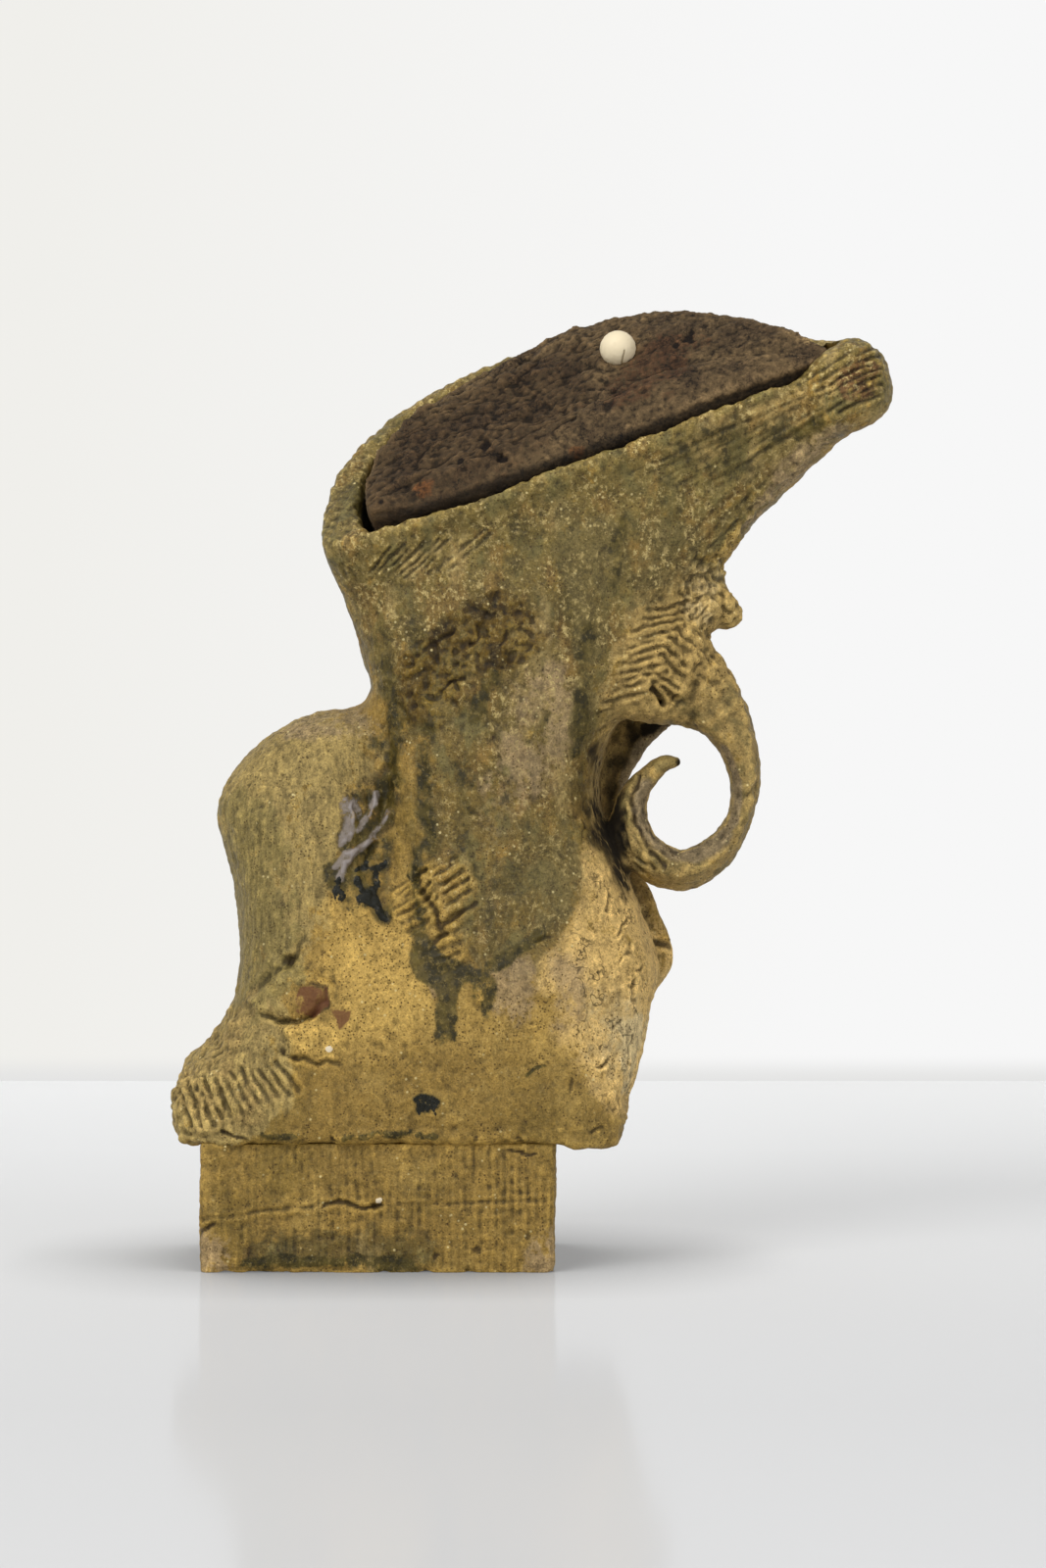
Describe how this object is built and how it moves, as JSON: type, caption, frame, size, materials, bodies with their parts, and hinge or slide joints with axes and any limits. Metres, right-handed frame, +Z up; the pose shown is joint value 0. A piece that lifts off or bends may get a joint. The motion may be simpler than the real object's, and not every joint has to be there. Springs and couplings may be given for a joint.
{
  "type": "lidded pottery jar",
  "caption": "Hand-built stoneware jar with a box foot, hollow body, shoulder pouch, slanting beaked mouth, curled handle and a loose clay lid with a ball knob.",
  "frame": {"origin": "on the ground, under the middle of the jar's overall box", "axes": "+Z up, +X towards the beak and the handle, -Y the front that the mouth leans over"},
  "size_m": [0.3174, 0.113, 0.4239],
  "materials": {
    "ash_glazed_stoneware": "olive and ochre natural ash glaze, running to dark green in the hollows, over grogged tan stoneware",
    "foot_stoneware": "bare ochre stoneware with a cloth-like vertical grain and thin dark ash along its lower edge",
    "handle_stoneware": "thin dry olive ash over tan stoneware",
    "bare_dark_clay": "unglazed, pitted, dark grey-brown with rust spots",
    "white_clay": "smooth ivory, satin"
  },
  "bodies": {
    "jar": {"foot_front_slab": "foot_stoneware", "foot_back_slab": "foot_stoneware", "foot_left_slab": "foot_stoneware", "foot_right_slab": "foot_stoneware", "foot_front_left_coil": "foot_stoneware", "foot_back_left_coil": "foot_stoneware", "foot_front_right_coil": "foot_stoneware", "foot_back_right_coil": "foot_stoneware", "floor_slab": "ash_glazed_stoneware", "skirt_left_lip": "ash_glazed_stoneware", "skirt_right_slab": "ash_glazed_stoneware", "skirt_front_slab": "ash_glazed_stoneware", "skirt_back_slab": "ash_glazed_stoneware", "body_front_sheet": "ash_glazed_stoneware", "body_back_sheet": "ash_glazed_stoneware", "shoulder_front_pouch": "ash_glazed_stoneware", "shoulder_back_pouch": "ash_glazed_stoneware", "neck_front_sheet": "ash_glazed_stoneware", "neck_back_sheet": "ash_glazed_stoneware", "mouth_front_wall": "ash_glazed_stoneware", "mouth_back_wall": "ash_glazed_stoneware", "beak_tip": "ash_glazed_stoneware", "lid_ledge_front_coil": "ash_glazed_stoneware", "lid_ledge_back_coil": "ash_glazed_stoneware", "handle_root": "handle_stoneware", "handle_curl": "handle_stoneware", "lug_pad": "handle_stoneware", "lug_horn": "handle_stoneware", "seam_fin_upper": "ash_glazed_stoneware", "seam_fin_lower": "ash_glazed_stoneware"},
    "lid": {"lid_slab": "bare_dark_clay", "knob_ball": "white_clay"}
  },
  "joints": [
    {"name": "lid_lift", "type": "slide", "parent": "jar", "child": "lid", "axis": [-0.276, -0.6157, 0.7381], "range_m": [0, 0.09]}
  ]
}
